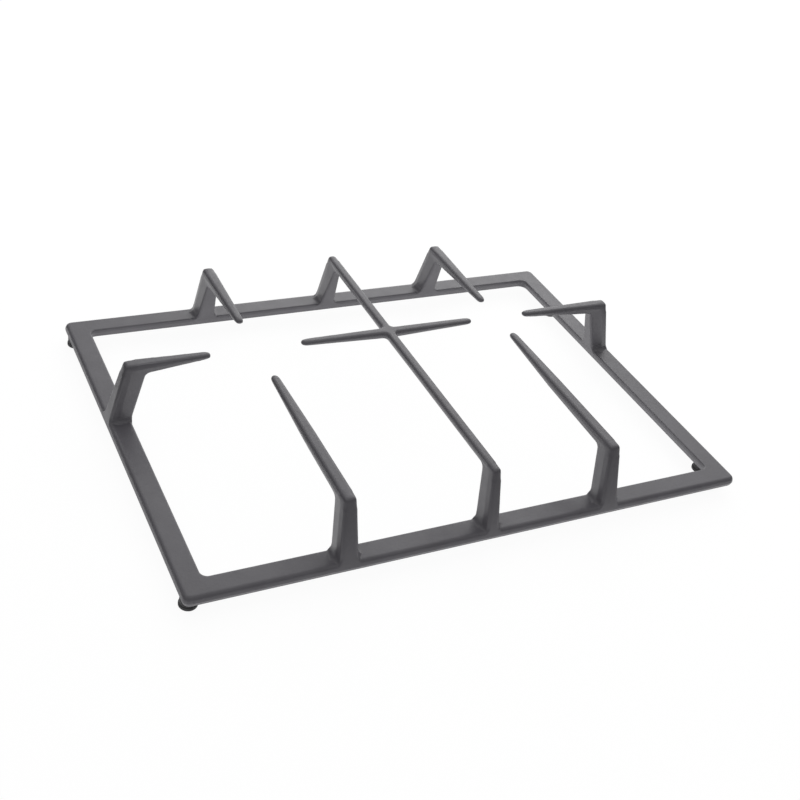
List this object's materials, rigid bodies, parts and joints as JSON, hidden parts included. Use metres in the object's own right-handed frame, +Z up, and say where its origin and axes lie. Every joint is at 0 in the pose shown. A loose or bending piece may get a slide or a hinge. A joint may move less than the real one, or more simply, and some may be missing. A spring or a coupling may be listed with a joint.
{
  "type": "hob pan support",
  "caption": "Cast iron pan support for a gas hob: a flat frame with raised fingers round a large and a small burner, on rubber feet.",
  "frame": {"origin": "middle of the frame in plan, on the plane that the feet stand on", "axes": "+X along the long side, from the large burner to the small one; +Y to the back, the side that the burners are nearer to; +Z up"},
  "size_m": [0.4, 0.288, 0.0556],
  "materials": {
    "enamelled_iron": "satin dark grey vitreous enamel with a fine cast grain",
    "foot_rubber": "matt black moulded rubber"
  },
  "bodies": {
    "root": {"pan_support_casting": "enamelled_iron", "foot_front_left": "foot_rubber", "foot_front_right": "foot_rubber", "foot_back_left": "foot_rubber", "foot_back_right": "foot_rubber"}
  },
  "joints": []
}
